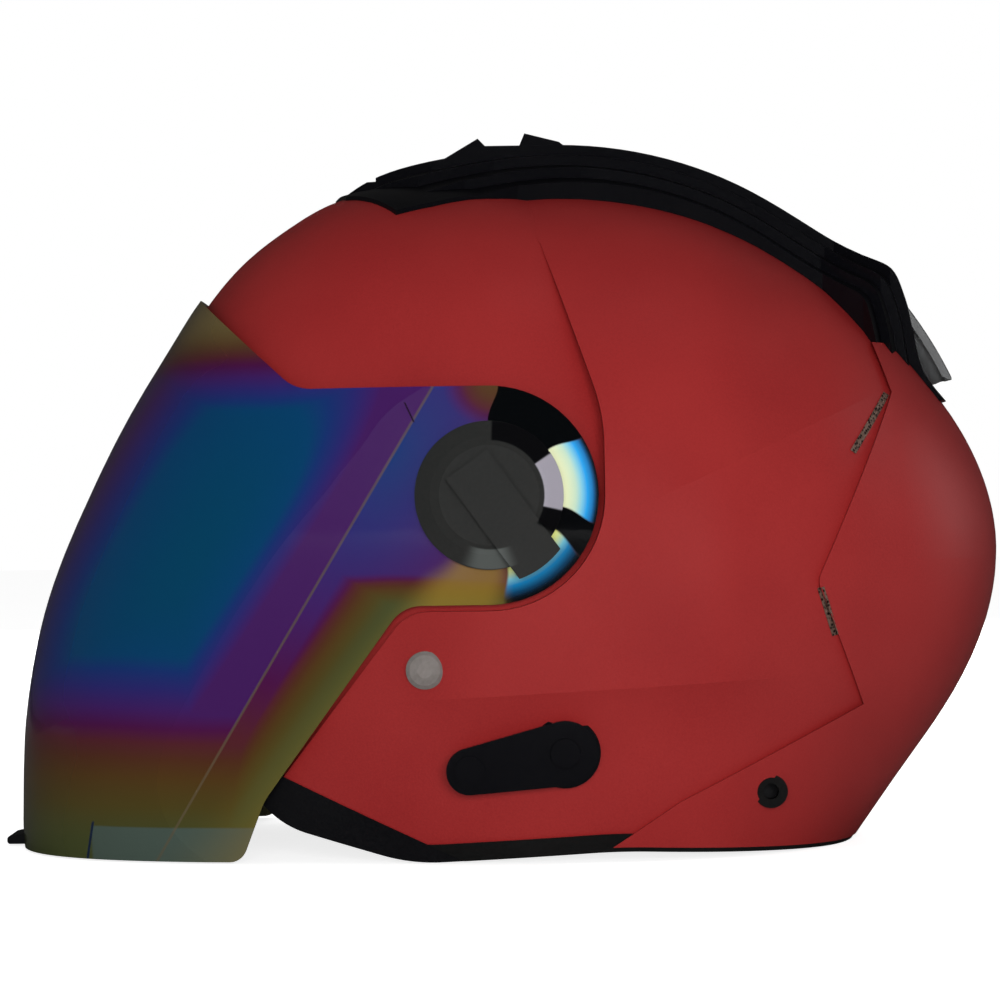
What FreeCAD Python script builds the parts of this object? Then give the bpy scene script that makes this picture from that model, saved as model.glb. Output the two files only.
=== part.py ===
import FreeCAD, Part
import Sketcher
import math
import os

# Open-face motorcycle helmet with a long bubble visor.
# Frame: the wearer looks along -X, the left side is -Y, +Z is up, and z = 0 is the
# plane on which the lower rim stands. All lengths are in millimetres.

V = FreeCAD.Vector
document = FreeCAD.newDocument("motorcycle_helmet")
sheet = document.addObject("Spreadsheet::Sheet", "sizes")

sizes = {
    # visor pivot, about which the front half of the shell is drawn
    "pivot_x": -3.0, "pivot_z": 120.0,
    # shell
    "brow_half_width": 113.0, "brow_fullness": 2.5,
    "back_centre_x": 38.0, "back_centre_z": 97.0,
    "back_half_width": 121.0, "back_fullness": 2.4,
    "shell_wall": 3.5, "panel_step": 1.5, "rim_lift": 1.5, "rim_trim_height": 6.0,
    "trim_wall": 1.1, "edge_trim_foot": 8.0, "chin_trim_proud": 0.5, "chin_trim_lap": 2.0,
    "opening_top": 157.0, "opening_rear_x": -47.0, "opening_rear_z": 84.0,
    "opening_slope": 1.29, "trim_band": 5.0,
    # pocket of the shell in which the visor arm lies
    "arm_radius": 35.5, "arm_gap": 2.0, "ridge_foot_z": 146.0,
    "ridge_top_x": 15.0, "ridge_top_z": 204.0,
    # liner
    "liner_gap": 0.3, "comfort_thick": 8.0, "head_half_width": 77.0, "head_fullness": 2.3,
    "head_centre_x": 29.0, "head_centre_z": 100.0, "liner_foot": 13.0,
    "cheek_thick": 18.0, "cheek_crown": 3.0, "cheek_gap": 1.5, "cheek_top": 82.0,
    "cheek_rear_x": 45.0, "strap_slot": 7.2,
    "neck_roll_thick": 14.0, "neck_roll_top": 50.0,
    # visor
    "visor_wall": 2.2, "visor_half_width": 119.5, "visor_fullness": 2.5,
    "arm_half_width": 117.5, "arm_dish_radius": 260.0, "visor_foot": 0.6,
    "tab_reach": 173.5, "tab_width": 26.0, "tab_height": 2.6,
    # pivot hardware
    "hub_radius": 13.9, "hub_clearance": 0.08, "base_radius": 26.0, "base_height": 1.4,
    "base_edge": 0.5, "base_sunk": 4.0,
    "cover_radius": 24.1, "cover_flat_radius": 16.2, "cover_height": 4.0, "cover_lift": 0.5,
    "cover_edge": 1.0, "cover_slope": 3.0, "cover_drop": 0.8, "post_radius": 4.0,
    "post_height": 1.6, "post_clearance": 0.08,
    "lever_half_width": 8.2, "lever_back": 12.4, "lever_front": 28.7, "lever_thick": 2.6,
    "lever_gap": 0.3, "lever_angle": -54.3,
    "screw_radius": 1.5, "screw_head_radius": 2.8, "screw_head": 1.2, "screw_length": 4.6,
    "screw_spare": 0.3, "screw_drive_radius": 1.1, "screw_drive_depth": 0.7, "screw_clearance": 0.05,
    "screw_circle": 20.0, "screw_count": 3, "screw_first_angle": 30.0,
    # sun visor
    "lens_radius": 103.0, "lens_half_width": 98.0, "lens_wall": 2.0, "lens_gap": 1.2,
    "lens_fullness": 2.4,
    "lens_foot_angle": 157.0, "lens_top_angle": 100.0, "lens_travel": 45.0,
    "lens_inner_radius": 55.0, "lens_slot_spare": 12.0, "lens_arm_trim": 14.0,
    "pin_radius": 3.0, "pin_length": 9.0, "pin_boss": 8.0, "pin_clearance": 0.08,
    # sun visor lever on the left side
    "dial_x": 20.4, "dial_z": 36.4, "dial_radius": 10.5, "dial_tip_radius": 7.6,
    "dial_reach": 31.4, "dial_angle": 190.0, "dial_thick": 3.2, "dial_gap": 0.3,
    "dial_post_radius": 3.0, "dial_base_radius": 11.5, "dial_base_height": 1.2,
    "dial_clearance": 0.08, "dial_knob_radius": 5.0, "dial_knob_height": 1.2,
    "dial_cap_radius": 5.0, "dial_cap_height": 1.0, "dial_cap_gap": 0.2,
    # crown fairing and its vents
    "fairing_centre_x": 30.0, "fairing_centre_z": 100.0, "fairing_half_width": 135.0,
    "fairing_step": 3.4, "fairing_fullness": 2.3, "fairing_skin": 1.4,
    "scoop_half_width": 17.0, "scoop_well_half_width": 8.0, "scoop_floor": 241.9,
    "well_front_x": -3.5, "well_rear_x": 9.2, "well_floor": 236.0,
    "intake_half_width": 11.0, "intake_low": 230.5, "intake_high": 234.5,
    "slider_length": 6.5, "slider_side_gap": 0.4, "slider_floor_gap": 0.2,
    "slider_chamfer": 1.3, "slider_front_x": -0.5,
    "vent_half_width": 27.0, "vent_low": 160.0, "vent_high": 181.0, "vent_front_x": 124.0,
    "lip_reach": 141.6, "lip_wall": 2.4, "lip_half_width": 34.0,
    "grille_bar": 1.4, "grille_pitch": 4.2, "grille_depth": 2.0, "grille_gap": 0.3,
    # strap and buckle
    "strap_x": -24.6, "rivet_z": 63.6, "strap_width": 22.0, "strap_thick": 1.6,
    "strap_level": 22.0, "strap_low": 8.8, "rivet_radius": 6.2,
    "rivet_head": 1.8, "rivet_shank": 2.5, "rivet_seat": 0.3, "rivet_inside": 5.4,
    "rivet_clearance": 0.05, "strap_lap": 3.0,
    "hanger_thick": 1.2, "hanger_width": 24.0, "hanger_height": 20.0, "hanger_gap": 0.3,
    "hanger_below": 12.0, "strap_play": 0.6,
    "buckle_left_y": -42.0, "buckle_right_y": -10.0, "buckle_width": 26.0,
    "buckle_floor": 1.4, "buckle_wall": 1.5, "buckle_height": 8.4,
    "tongue_thick": 1.6, "tongue_width": 17.0, "tongue_tip_y": -30.0, "tongue_end_y": 12.0,
    "tooth_pitch": 4.0, "tooth_count": 5, "tooth_run": 2.4, "tooth_height": 0.8,
    "tongue_play": 0.1, "pin_axle_radius": 1.25, "pin_inset": 5.0, "pin_height": 2.4,
    "flap_play": 0.4, "flap_inset": 5.0, "flap_below": 2.2, "flap_above": 1.2,
    "flap_behind": 2.2, "flap_clearance": 0.08,
    "chin_pad_inner_y": 14.0, "chin_pad_outer_y": 42.0, "chin_pad_width": 28.0,
    "chin_pad_thick": 6.5, "chin_pad_round": 2.0,
    # grommet in the rear of the rim
    "grommet_x": 87.9, "grommet_z": 21.7, "grommet_radius": 4.6, "grommet_flange": 1.2,
    "grommet_bore": 2.6, "grommet_fit": 0.05, "grommet_lip": 0.9, "grommet_seat": 0.6,
}

# Sizes that follow from others.
formulas = {
    "dial_lean": "(dial_radius - dial_tip_radius) / dial_reach",
    "dial_side": "sqrt(1 - dial_lean * dial_lean)",
    "buckle_floor_z": "strap_level + strap_thick / 2",
    "buckle_low_z": "buckle_floor_z + buckle_floor - buckle_height",
    "buckle_pin_y": "buckle_right_y - pin_inset",
    "buckle_pin_z": "buckle_low_z + pin_height",
    "flap_half": "buckle_width / 2 - buckle_wall - flap_play",
    "tongue_top_z": "buckle_floor_z - tongue_play",
    "tongue_low_z": "tongue_top_z - tongue_thick",
}

# Reach of each closed side profile from its own centre, by angle from the rear.
profiles = {
    "brow": {0: 100, 30: 100, 60: 103, 80: 106, 90: 107, 105: 111, 118: 116, 126: 116.8,
             135: 118, 144: 118.6, 160: 119.5, 180: 122, 200: 133, 215: 148, 235: 163,
             255: 175, 270: 175, 290: 165, 315: 140, 340: 112},
    "back": {0: 134, 10: 133, 22: 128.5, 31: 124.8, 40: 122.9, 50: 122, 60: 122, 72: 123.6,
             84: 126, 95: 129.3, 107: 133.5, 120: 135, 135: 134.2, 152: 133.5, 172: 141.5,
             190: 162, 208: 186, 228: 195.5, 247: 192, 265: 178, 285: 154.5, 305: 131.5,
             322: 124, 340: 128, 352: 132.4},
    "visor": {0: 130, 30: 125, 60: 122, 90: 119, 117: 118, 130: 119, 145: 121.8, 153: 122.6,
              162: 126, 171: 132, 179: 139.5, 187: 150, 194: 161, 200: 171, 206: 182,
              212: 194, 217: 205, 235: 212, 250: 205, 270: 190, 300: 160, 330: 135},
    "head": {0: 105, 45: 98, 90: 88, 135: 97, 160: 103, 180: 114, 200: 135, 220: 160, 240: 165,
             255: 155, 270: 148, 290: 142, 325: 118},
    "fairing": {0: 140, 14: 139.5, 21: 137.2, 27: 134, 32: 137, 36: 141.2, 39: 144, 42: 145.8,
                45: 143.2, 50: 139.4, 56: 138.2, 66: 139, 75: 140.1, 86: 141.6, 94: 142.8,
                102: 144.2, 110: 146.6, 116: 149.3, 121: 150.6, 126: 150.2, 150: 150,
                180: 150, 230: 150, 300: 150},
}
for profile, reaches in profiles.items():
    for angle, reach in reaches.items():
        sizes[f"{profile}_reach_{angle:03d}"] = reach

contents = {alias: str(number) for alias, number in sizes.items()}
contents.update({alias: f"={formula}" for alias, formula in formulas.items()})
for row, (alias, content) in enumerate(contents.items(), start=1):
    sheet.set(f"A{row}", alias)
    sheet.set(f"B{row}", content)
    sheet.setAlias(f"B{row}", alias)
document.recompute()


def size(alias):
    return float(sheet.get(alias))


# ---------------------------------------------------------------- general forms

sides = {"left": -1, "right": 1}
pieces = []
far = 400.0      # beyond every piece
round_off = 8    # sections of a dome from its middle to its side
flat_share = 0.03    # size of the tiny flat at a dome's side, as a share of the profile


def keep(piece, name):
    # A finished sub-part: its label names its file.
    piece.Label = name
    pieces.append(piece)
    return piece


def formed(name, shape):
    piece = document.addObject("Part::Feature", name)
    piece.Shape = shape
    return keep(piece, name)


def primitive(kind, name, place, **expressions):
    # A simple solid whose sizes, and place where it is given in words, are expressions.
    piece = document.addObject(kind, name)
    for quantity, expression in expressions.items():
        piece.setExpression(quantity, expression)
    for axis, value in zip("xyz", place):
        if isinstance(value, str):
            piece.setExpression(f"Placement.Base.{axis}", value)
        else:
            setattr(piece.Placement.Base, axis, value)
    return piece


def cut_by(name, base, tool):
    result = document.addObject("Part::Cut", name)
    result.Base = base
    result.Tool = tool
    document.recompute()
    return result


def fused(name, parts):
    result = document.addObject("Part::MultiFuse", name)
    result.Shapes = parts
    document.recompute()
    return result


def grouped(name, parts):
    result = document.addObject("Part::Compound", name)
    result.Links = parts
    document.recompute()
    return result


def axle_rod(name, radius, length):
    # A rod across the buckle, on the axis of its lever.
    rod = document.addObject("Part::Cylinder", name)
    rod.Placement.Rotation = FreeCAD.Rotation(V(0, 1, 0), 90)
    rod.setExpression("Radius", radius)
    rod.setExpression("Height", length)
    rod.setExpression("Placement.Base.x", "sizes.strap_x - sizes.buckle_width / 2")
    rod.setExpression("Placement.Base.y", "sizes.buckle_pin_y")
    rod.setExpression("Placement.Base.z", "sizes.buckle_pin_z")
    document.recompute()
    return rod


def profile_reaches(profile, grow):
    return {angle: size(f"{profile}_reach_{angle:03d}") + grow for angle in profiles[profile]}


def even_reaches(radius):
    return {angle: radius for angle in range(0, 360, 30)}


def dome(reaches, centre, half_width, fullness):
    # A closed dome: every slice parallel to the middle plane is the side profile scaled
    # towards the centre, so its sides are superellipses. Each side ends in a tiny flat,
    # and the outline is built as four patches that meet edge to edge.
    outline = Part.BSplineCurve()
    points = []
    for angle, reach in reaches.items():
        turn = math.radians(angle)
        points.append(centre + V(reach * math.cos(turn), 0, reach * math.sin(turn)))
    outline.interpolate(Points=points, PeriodicFlag=True)
    last_turn = math.acos(flat_share ** (fullness / 2))
    arch = Part.BSplineCurve()
    arch_points = []
    for step in range(-round_off, round_off + 1):
        turn = last_turn * step / round_off
        sideways = math.copysign(abs(math.sin(turn)) ** (2 / fullness), turn)
        arch_points.append(V(math.cos(turn) ** (2 / fullness), sideways, 0))
    arch.interpolate(arch_points)
    start = outline.FirstParameter
    quarter = (outline.LastParameter - start) / 4
    faces = []
    ends = {-1: [], 1: []}
    for number in range(4):
        part = outline.copy()
        part.segment(start + quarter * number, start + quarter * (number + 1))
        poles = [[centre + (rim - centre) * p.x + V(0, half_width * p.y, 0) for p in arch.getPoles()]
                 for rim in part.getPoles()]
        surface = Part.BSplineSurface()
        surface.buildFromPolesMultsKnots(
            poles, part.getMultiplicities(), arch.getMultiplicities(),
            part.getKnots(), arch.getKnots(), False, False, part.Degree, arch.Degree)
        face = surface.toShape()
        faces.append(face)
        for edge in face.Edges:
            middle = edge.CenterOfMass
            span = edge.BoundBox
            if span.YLength < 0.01:
                ends[1 if middle.y > 0 else -1].append(edge)
    for edges in ends.values():
        faces.append(Part.Face(Part.Wire(Part.__sortEdges__(edges))))
    shell_of_faces = Part.makeShell(faces)
    shell_of_faces.sewShape()
    solid = Part.Solid(shell_of_faces)
    if solid.Volume < 0:
        solid.reverse()
    return solid


def rounded_face(corners):
    # A flat face in the side plane from (x, z) or (x, z, radius) corners.
    wires = []
    ends = []
    count = len(corners)
    for number in range(count):
        corner = corners[number]
        here = V(corner[0], 0, corner[1])
        radius = corner[2] if len(corner) > 2 else 0.0
        before = V(corners[number - 1][0], 0, corners[number - 1][1])
        after = V(corners[(number + 1) % count][0], 0, corners[(number + 1) % count][1])
        if radius <= 0:
            ends.append((here, here))
            continue
        back = (before - here).normalize()
        ahead = (after - here).normalize()
        half = back.getAngle(ahead) / 2
        reach = radius / math.tan(half)
        start = here + back * reach
        finish = here + ahead * reach
        bisector = (back + ahead).normalize()
        middle = here + bisector * (radius / math.sin(half) - radius)
        ends.append((start, finish))
        wires.append(Part.Arc(start, middle, finish).toShape())
    for number in range(count):
        start = ends[number][1]
        finish = ends[(number + 1) % count][0]
        if start.distanceToPoint(finish) > 1e-6:
            wires.append(Part.makeLine(start, finish))
    return Part.Face(Part.Wire(Part.__sortEdges__(wires)))


def side_prism(corners, near=-far, beyond=far, offset=0.0):
    # Everything whose side view falls inside the corners, from y = near to y = beyond.
    face = rounded_face(corners)
    if offset:
        face = face.makeOffset2D(offset)
    face.translate(V(0, near, 0))
    return face.extrude(V(0, beyond - near, 0))


def plan_prism(half_corners, low, high):
    # Everything whose plan falls inside the outline, given as (x, half width) corners.
    left = [V(x, -half, low) for x, half in half_corners]
    right = [V(x, half, low) for x, half in reversed(half_corners) if half > 0]
    outline = Part.makePolygon(left + right + [left[0]])
    return Part.Face(outline).extrude(V(0, 0, high - low))


def block(low, high):
    return Part.makeBox(high[0] - low[0], high[1] - low[1], high[2] - low[2], V(*low))


def side_rod(x, z, radius, near, beyond):
    return Part.makeCylinder(radius, beyond - near, V(x, near, z), V(0, 1, 0))


def side_reach(solid, x, z):
    # How far the solid reaches sideways at a point of the side view.
    line = Part.makeLine(V(x, 0, z), V(x, far, z))
    return line.common(solid).BoundBox.YMax


def half_space(side, start=0.0):
    # Everything on one side of the helmet, further out than the start.
    if side > 0:
        return block((-far, start, -far), (far, far, far))
    return block((-far, -far, -far), (far, -start, far))


def through_rod(side, x, z, radius, inner, outer):
    # A rod across one side wall, from its inner to its outer distance from the middle.
    if side > 0:
        return side_rod(x, z, radius, inner, outer)
    return side_rod(x, z, radius, -outer, -inner)


def origin_plane(body, role):
    return next(plane for plane in body.Origin.OriginFeatures if plane.Role == role)


def new_body(name):
    return document.addObject("PartDesign::Body", name)


def outline_sketch(body, name, role, corners):
    # A closed outline of straight lines whose corners are (across, up) expressions.
    sketch = body.newObject("Sketcher::SketchObject", name)
    sketch.AttachmentSupport = [(origin_plane(body, role), "")]
    sketch.MapMode = "FlatFace"
    places = [(float(sketch.evalExpression(a)), float(sketch.evalExpression(b))) for a, b in corners]
    count = len(corners)
    for number, (across, up) in enumerate(places):
        next_across, next_up = places[(number + 1) % count]
        sketch.addGeometry(Part.LineSegment(V(across, up, 0), V(next_across, next_up, 0)), False)
    for number in range(count):
        sketch.addConstraint(Sketcher.Constraint("Coincident", number, 2, (number + 1) % count, 1))
    for number, corner in enumerate(corners):
        for kind, axis, expression, place in (("DistanceX", -2, corner[0], places[number][0]),
                                              ("DistanceY", -1, corner[1], places[number][1])):
            if expression == "0":
                sketch.addConstraint(Sketcher.Constraint("PointOnObject", number, 1, axis))
            else:
                made = sketch.addConstraint(Sketcher.Constraint(kind, -1, 1, number, 1, place))
                sketch.setExpression(f"Constraints[{made}]", expression)
    return sketch


def circle_sketch(body, name, role, across, up, radius):
    sketch = body.newObject("Sketcher::SketchObject", name)
    sketch.AttachmentSupport = [(origin_plane(body, role), "")]
    sketch.MapMode = "FlatFace"
    place = [float(sketch.evalExpression(text)) for text in (across, up, radius)]
    sketch.addGeometry(Part.Circle(V(place[0], place[1], 0), V(0, 0, 1), place[2]), False)
    for kind, axis, expression, number in (("DistanceX", -2, across, place[0]),
                                           ("DistanceY", -1, up, place[1])):
        if expression == "0":
            sketch.addConstraint(Sketcher.Constraint("PointOnObject", 0, 3, axis))
        else:
            made = sketch.addConstraint(Sketcher.Constraint(kind, -1, 1, 0, 3, number))
            sketch.setExpression(f"Constraints[{made}]", expression)
    made = sketch.addConstraint(Sketcher.Constraint("Radius", 0, place[2]))
    sketch.setExpression(f"Constraints[{made}]", radius)
    return sketch


def turned(name, corners):
    # A round piece: (radius, height) corners turned about the body's own Z axis.
    body = new_body(name)
    profile = outline_sketch(body, "profile", "XZ_Plane", corners)
    turn = body.newObject("PartDesign::Revolution", "turn")
    turn.Profile = profile
    turn.ReferenceAxis = (profile, ["V_Axis"])
    turn.Angle = 360
    document.recompute()
    return body


def padded(body, sketch, length, name="pad"):
    pad = body.newObject("PartDesign::Pad", name)
    pad.Profile = sketch
    pad.setExpression("Length", length)
    document.recompute()
    return pad


def pocketed(body, sketch, length, name="pocket", upward=True):
    pocket = body.newObject("PartDesign::Pocket", name)
    pocket.Profile = sketch
    pocket.Reversed = upward
    pocket.setExpression("Length", length)
    document.recompute()
    return pocket


def outboard(piece, side, x, reach, z, turn=0.0):
    # Stands a piece on its side of the helmet, with its own Z axis pointing outwards.
    spin = FreeCAD.Rotation(V(0, 0, 1), turn if side < 0 else -turn)
    face = FreeCAD.Rotation(V(1, 0, 0), 90 if side < 0 else -90)
    if side > 0:
        spin = FreeCAD.Rotation(V(0, 0, 1), -turn)
    piece.Placement = FreeCAD.Placement(V(x, side * reach, z), face.multiply(spin))


# ---------------------------------------------------------------- driving forms

pivot = V(size("pivot_x"), 0, size("pivot_z"))
back_centre = V(size("back_centre_x"), 0, size("back_centre_z"))
fairing_centre = V(size("fairing_centre_x"), 0, size("fairing_centre_z"))
head_centre = V(size("head_centre_x"), 0, size("head_centre_z"))
pocket_radius = size("arm_radius") + size("arm_gap")


def brow_dome(grow=0.0):
    return dome(profile_reaches("brow", grow), pivot,
                size("brow_half_width") + grow, size("brow_fullness"))


def back_dome(grow=0.0):
    return dome(profile_reaches("back", grow), back_centre,
                size("back_half_width") + grow, size("back_fullness"))


def head_dome(grow=0.0):
    return dome(profile_reaches("head", grow), head_centre,
                size("head_half_width") + grow, size("head_fullness"))


# The pocket keeps the wide back of the shell clear of the visor and its arms.
pocket_rear_x = pivot.x + pocket_radius
pocket_foot_z = pivot.z - pocket_radius
edge_top_x = pivot.x - 27.0
edge_run = 150.0
pocket_corners = [
    (-far, far), (size("ridge_top_x") - 66, size("ridge_top_z") + 58),
    (size("ridge_top_x"), size("ridge_top_z")),
    (pocket_rear_x, size("ridge_foot_z"), 60.0),
    (pocket_rear_x, pocket_foot_z, pocket_radius),
    (edge_top_x, pocket_foot_z, 14.0),
    (edge_top_x - edge_run / size("opening_slope"), pocket_foot_z - edge_run), (-far, -far),
]


def helmet_form(grow):
    # The outer form of the shell, or with a negative grow the form of its inside.
    pocket = side_prism(pocket_corners, offset=-grow)
    return brow_dome(grow).fuse(back_dome(grow).cut(pocket))


# Face opening, seen from the side, and the lower edge of the helmet.
opening_rear = V(size("opening_rear_x"), 0, size("opening_rear_z"))
opening_corners = [
    (-far, size("opening_top")), (opening_rear.x - 12, size("opening_top"), 34.0),
    (opening_rear.x, opening_rear.z + 22, 30.0), (opening_rear.x, opening_rear.z, 16.0),
    (opening_rear.x - edge_run / size("opening_slope"), opening_rear.z - edge_run), (-far, -far),
]
foot_line = [
    (-150, 90), (-72, 12, 30.0), (-30, 0, 60.0), (38, 3.6, 200.0), (115, 0, 200.0), (far, 0),
]
foot_corners = foot_line + [(far, -far), (-far, -far), (-far, 90)]


def face_opening(offset=0.0):
    return side_prism(opening_corners, offset=offset)


def below_foot(lift=0.0):
    return side_prism([(corner[0], corner[1] + lift) + tuple(corner[2:]) for corner in foot_corners])


# ---------------------------------------------------------------- outer shell

wall = size("shell_wall")
strap_x = size("strap_x")
rivet_z = size("rivet_z")
outer_form = helmet_form(0.0)
inner_form = helmet_form(-wall)
seam_corners = [
    (127, 170), (132, 152.6), (103.3, 90.7, 6.0), (119.5, 49.4), (57.9, 19.5), (10, -12),
    (far, -12), (far, 170),
]
rear_panel = back_dome(size("panel_step")).common(side_prism(seam_corners))
painted_form = outer_form.fuse(rear_panel)
chin_corners = [(-8, -1.4), (-71.3, 28.3), (-133, 57), (-160, -40), (-8, -40)]
chin_region = side_prism(chin_corners)

shell_shape = painted_form.cut(inner_form)
shell_shape = shell_shape.cut(face_opening()).cut(below_foot(size("rim_lift"))).cut(chin_region)
rivet_bore = size("rivet_shank") + size("rivet_clearance")
shell_shape = shell_shape.cut(side_rod(strap_x, rivet_z, rivet_bore, -far, far))
shell_shape = shell_shape.cut(
    side_rod(size("grommet_x"), size("grommet_z"), size("grommet_radius"), -far, far))
shell = formed("outer_shell", shell_shape)

# ---------------------------------------------------------------- edge trims

trim = size("trim_wall")
trim_band = size("trim_band")
trim_body = helmet_form(trim).cut(helmet_form(-wall - trim))
edge_band = face_opening(trim_band).cut(face_opening(-trim))
edge_trim = trim_body.common(edge_band).cut(shell_shape)
formed("face_edge_trim", edge_trim.cut(below_foot(size("edge_trim_foot"))).cut(chin_region))
foot_band = below_foot(size("rim_trim_height")).cut(below_foot(0.0))
rim_trim = trim_body.common(foot_band).cut(shell_shape).cut(face_opening()).cut(chin_region)
formed("rim_edge_trim", rim_trim)

chin_skin = helmet_form(size("chin_trim_proud")).cut(inner_form).common(chin_region)
chin_skin = chin_skin.cut(face_opening(-size("chin_trim_lap"))).cut(below_foot(0.0))
for name, side in sides.items():
    formed(f"lower_trim_{name}", chin_skin.common(half_space(side, 20)))

# ---------------------------------------------------------------- impact liner and comfort lining

gap = size("liner_gap")
comfort = size("comfort_thick")
foot = size("liner_foot")
cheek_top = size("cheek_top")
cheek_rear = size("cheek_rear_x")
cheek_gap = size("cheek_gap")
lens_radius = size("lens_radius")
lens_gap = size("lens_gap")
lens_wall = size("lens_wall")
pin_boss = size("pin_boss")


def lens_dome(grow=0.0):
    # The sun visor and its slot are turned about the visor pivot, so one slides in the other.
    return dome(even_reaches(lens_radius + grow), pivot,
                size("lens_half_width") + grow, size("lens_fullness"))


def sector(start, finish, inner, outer):
    # A ring sector about the pivot in side view; its outer chords stay beyond the outer radius.
    corners = []
    steps = 4
    beyond = 1.15 * outer
    for step in range(steps + 1):
        turn = math.radians(start + (finish - start) * step / steps)
        corners.append((pivot.x + beyond * math.cos(turn), pivot.z + beyond * math.sin(turn)))
    for step in range(steps + 1):
        turn = math.radians(finish + (start - finish) * step / steps)
        corners.append((pivot.x + inner * math.cos(turn), pivot.z + inner * math.sin(turn)))
    return side_prism(corners)


foot_angle = size("lens_foot_angle")
top_angle = size("lens_top_angle")
inner_radius = size("lens_inner_radius")
slot_end = foot_angle + size("lens_travel") + size("lens_slot_spare")
lens_shell = lens_dome().cut(lens_dome(-lens_wall))
lens_region = sector(top_angle, foot_angle, inner_radius, lens_radius)
arm_region = sector(top_angle + size("lens_arm_trim"), foot_angle - 6, 6.0, inner_radius)
boss = side_rod(pivot.x, pivot.z, pin_boss, -far, far)
lens_shape = lens_shell.common(lens_region.fuse(arm_region).fuse(boss))
slot_shell = lens_dome(lens_gap).cut(lens_dome(-lens_wall - lens_gap))
slot_region = sector(top_angle - 2, slot_end, 4.0, lens_radius + 8)
slot_boss = side_rod(pivot.x, pivot.z, pin_boss + lens_gap, -far, far)
lens_slot = slot_shell.common(slot_region.fuse(slot_boss))

liner = helmet_form(-wall - gap).cut(head_dome(comfort))
liner = liner.cut(face_opening(trim_band + gap)).cut(block((-far, -far, -far), (far, far, foot)))
liner = liner.cut(
    block((-far, -far, -far), (cheek_rear + cheek_gap, far, cheek_top + cheek_gap)))
neck_thick = size("neck_roll_thick")
neck_top = size("neck_roll_top")
neck_region = block((cheek_rear + cheek_gap, -far, -far), (far, far, neck_top + gap))
liner = liner.cut(head_dome(neck_thick + gap).common(neck_region)).cut(lens_slot)

crown = head_dome(comfort - gap).cut(head_dome(0.0)).cut(face_opening(trim_band + gap))
crown = crown.cut(block((-far, -far, -far), (far, far, cheek_top + 2 * cheek_gap)))
formed("crown_liner", crown)

neck_roll = head_dome(neck_thick).cut(head_dome(0.0)).common(helmet_form(-wall - gap))
neck_roll = neck_roll.common(
    block((cheek_rear + 2 * cheek_gap, -far, foot), (far, far, neck_top)))
formed("neck_roll", neck_roll)

cheek_thick = size("cheek_thick")
cheek_slab = side_prism([
    (-58, foot, 10.0), (cheek_rear, foot, 8.0), (cheek_rear, cheek_top, 8.0), (-40, cheek_top, 12.0)])
cheek_slab = cheek_slab.cut(face_opening(trim_band + gap))
pads = head_dome(cheek_thick).cut(head_dome(-size("cheek_crown"))).common(cheek_slab)
blocks = helmet_form(-wall - size("strap_slot")).cut(head_dome(cheek_thick + gap))
blocks = blocks.common(cheek_slab)

# The chin strap hangs from the shell in a slot behind the cheek block, turns under it and
# runs up to the buckle below the chin.
rivet_seat = side_reach(outer_form, strap_x, rivet_z)
hanger_half = size("hanger_width") / 2
hanger_foot = rivet_z - size("hanger_below")
hanger_outer = min(side_reach(inner_form, strap_x + across, hanger_foot + up)
                   for across in (-hanger_half, hanger_half)
                   for up in (0, size("hanger_height"))) - size("hanger_gap")
strap_thick = size("strap_thick")
strap_width = size("strap_width")
level = size("strap_level")
strap_low = size("strap_low")
foot_inner = side_reach(inner_form, strap_x, foot)
hang = hanger_outer - size("hanger_thick") - strap_thick / 2


def strap_band(points, thick, width):
    # A flat band that follows (y, z) points in a plane across the helmet, rounded at each bend.
    path = [V(0, y, z) for y, z in points]
    edges = []
    start = path[0]
    for number in range(1, len(path) - 1):
        back = path[number - 1] - path[number]
        ahead = path[number + 1] - path[number]
        reach = 0.42 * min(back.Length, ahead.Length)
        first = path[number] + back.normalize() * reach
        last = path[number] + ahead.normalize() * reach
        half_bend = back.getAngle(ahead) / 2
        radius = reach * math.tan(half_bend)
        bisector = (back + ahead).normalize()
        middle = path[number] + bisector * (radius / math.sin(half_bend) - radius)
        edges.append(Part.makeLine(start, first))
        edges.append(Part.Arc(first, middle, last).toShape())
        start = last
    edges.append(Part.makeLine(start, path[-1]))
    along = (edges[0].Vertexes[1].Point - edges[0].Vertexes[0].Point).normalize()
    across = V(1, 0, 0)
    up = along.cross(across)
    corners = [path[0] + across * (a * width / 2) + up * (b * thick / 2)
               for a, b in ((-1, -1), (1, -1), (1, 1), (-1, 1))]
    outline = Part.makePolygon(corners + [corners[0]])
    band = Part.Wire(edges).makePipeShell([outline], True, True)
    band.translate(V(strap_x, 0, 0))
    return band


def strap_points(side):
    end = size("buckle_left_y") + size("strap_lap") if side < 0 else size("tongue_end_y")
    return [
        (side * hang, rivet_z - 6), (side * (hang - 1.0), 40), (side * (foot_inner - 5.6), foot + 5),
        (side * (foot_inner - 13), strap_low), (side * 60, strap_low + 0.5), (side * 46, level),
        (end, level)]


play = size("strap_play")
hanger_inner = hanger_outer - size("hanger_thick") - gap
hanger_room = block((strap_x - hanger_half - gap, -far, hanger_foot - gap),
                    (strap_x + hanger_half + gap, far, hanger_foot + size("hanger_height") + gap))
for name, side in sides.items():
    path = strap_points(side)
    formed(f"chin_strap_{name}", strap_band(path, strap_thick, strap_width))
    slot = strap_band(path, strap_thick + 2 * play, strap_width + 2 * play)
    recess = hanger_room.common(half_space(side, hanger_inner))
    formed(f"cheek_block_{name}", blocks.common(half_space(side, 30)).cut([slot, recess]))
    formed(f"cheek_pad_{name}", pads.common(half_space(side, 30)).cut(slot))

# ---------------------------------------------------------------- visor

visor_wall = size("visor_wall")
dish_fullness = 2.0


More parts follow.
